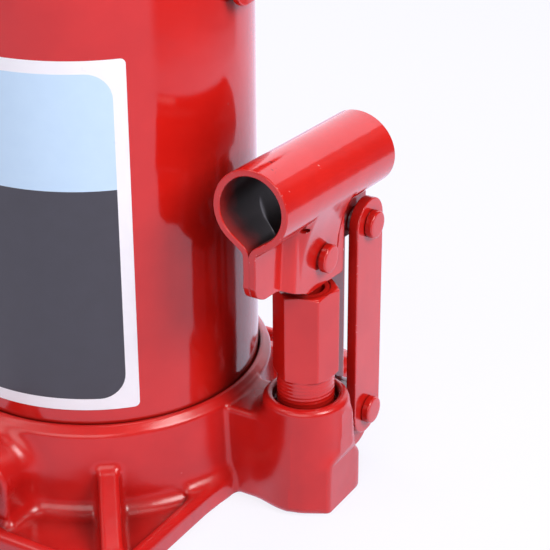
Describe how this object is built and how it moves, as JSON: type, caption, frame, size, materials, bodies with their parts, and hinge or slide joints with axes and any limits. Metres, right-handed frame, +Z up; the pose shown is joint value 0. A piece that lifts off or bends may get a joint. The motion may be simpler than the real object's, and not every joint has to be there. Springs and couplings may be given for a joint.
{
  "type": "hydraulic bottle jack",
  "caption": "Upright hydraulic bottle jack: cast base, round oil tank, ram with extension screw, side pump worked by a tubular handle socket, and a carrying strap.",
  "frame": {"origin": "on the axis of the ram, at the underside of the base", "axes": "+Z up along the ram, +X from the ram to the pump, -Y the side that the handle socket's mouth and the release valve face"},
  "size_m": [0.1835, 0.1958, 0.285],
  "materials": {
    "red_enamel": "glossy",
    "ground_steel": "ground and polished",
    "plated_steel": "turned, zinc plated",
    "copper": "soft annealed copper",
    "rubber": "matte",
    "label_film": "printed film"
  },
  "bodies": {
    "base": {"base_casting": "red_enamel", "reservoir_tank": "red_enamel", "tank_foot_gasket": "rubber", "tank_top_gasket": "rubber", "label": "label_film", "filler_plug": "rubber", "pressure_cylinder": "plated_steel", "cylinder_foot_seal": "copper", "top_nut": "red_enamel", "gland_ring": "rubber", "ram_wiper": "rubber", "inlet_ball": "ground_steel", "inlet_ball_stop": "plated_steel", "outlet_ball": "ground_steel", "outlet_ball_stop": "plated_steel", "relief_ball": "ground_steel", "relief_spring": "plated_steel", "relief_screw": "plated_steel", "release_gland_nut": "plated_steel", "release_packing": "rubber", "release_ball": "ground_steel", "oil_strainer": "copper", "pump_cylinder": "red_enamel", "pump_washer": "copper", "pump_wiper": "rubber", "carry_strap": "red_enamel", "strap_boss_front": "red_enamel", "strap_boss_rear": "red_enamel", "strap_screw_front": "plated_steel", "strap_screw_rear": "plated_steel"},
    "ram_body": {"ram": "ground_steel", "ram_packing": "rubber", "piston_nut": "plated_steel"},
    "screw_carrier": {"screw_stop_ring": "plated_steel"},
    "screw": {"extension_screw": "plated_steel"},
    "plunger_body": {"pump_plunger": "ground_steel", "plunger_cup": "rubber"},
    "links": {"link_right": "red_enamel", "link_left": "red_enamel", "link_top_pin": "red_enamel", "link_top_pin_clip": "plated_steel", "link_foot_pin": "red_enamel", "link_foot_pin_clip": "plated_steel", "right_spacer": "plated_steel", "left_spacer": "plated_steel"},
    "socket": {"handle_socket": "red_enamel", "plunger_pin": "red_enamel", "plunger_pin_clip": "plated_steel"},
    "valve_spindle": {"release_valve": "plated_steel"}
  },
  "joints": [
    {"name": "ram_lift", "type": "slide", "parent": "base", "child": "ram_body", "axis": [0, 0, 1], "range_m": [0, 0.18]},
    {"name": "screw_rise", "type": "slide", "parent": "ram_body", "child": "screw_carrier", "axis": [0, 0, 1], "range_m": [0, 0.0601]},
    {"name": "screw_turn", "type": "hinge", "parent": "screw_carrier", "child": "screw", "pos_m": [0, 0, 0.268], "axis": [0, 0, 1], "range_deg": [0, 5400]},
    {"name": "plunger_stroke", "type": "slide", "parent": "base", "child": "plunger_body", "axis": [0, 0, 1], "range_m": [0, 0.0185]},
    {"name": "link_swing", "type": "hinge", "parent": "base", "child": "links", "pos_m": [0.0952, 0.031, 0.025], "axis": [-1, 0, 0], "range_deg": [-2.67, 0]},
    {"name": "socket_pump", "type": "hinge", "parent": "links", "child": "socket", "pos_m": [0.0952, 0.031, 0.1063], "axis": [-1, 0, 0], "range_deg": [0, 38]},
    {"name": "valve_turn", "type": "hinge", "parent": "base", "child": "valve_spindle", "pos_m": [0, -0.085, 0.02], "axis": [0, -1, 0], "range_deg": [0, 360]}
  ],
  "couplings": [
    {"joint": "screw_rise", "follows": "screw_turn", "m_per_rad": 0.00063662},
    {"joint": "plunger_stroke", "follows": "socket_pump", "m_per_rad": 0.0278},
    {"joint": "link_swing", "follows": "socket_pump", "ratio": -0.07}
  ]
}
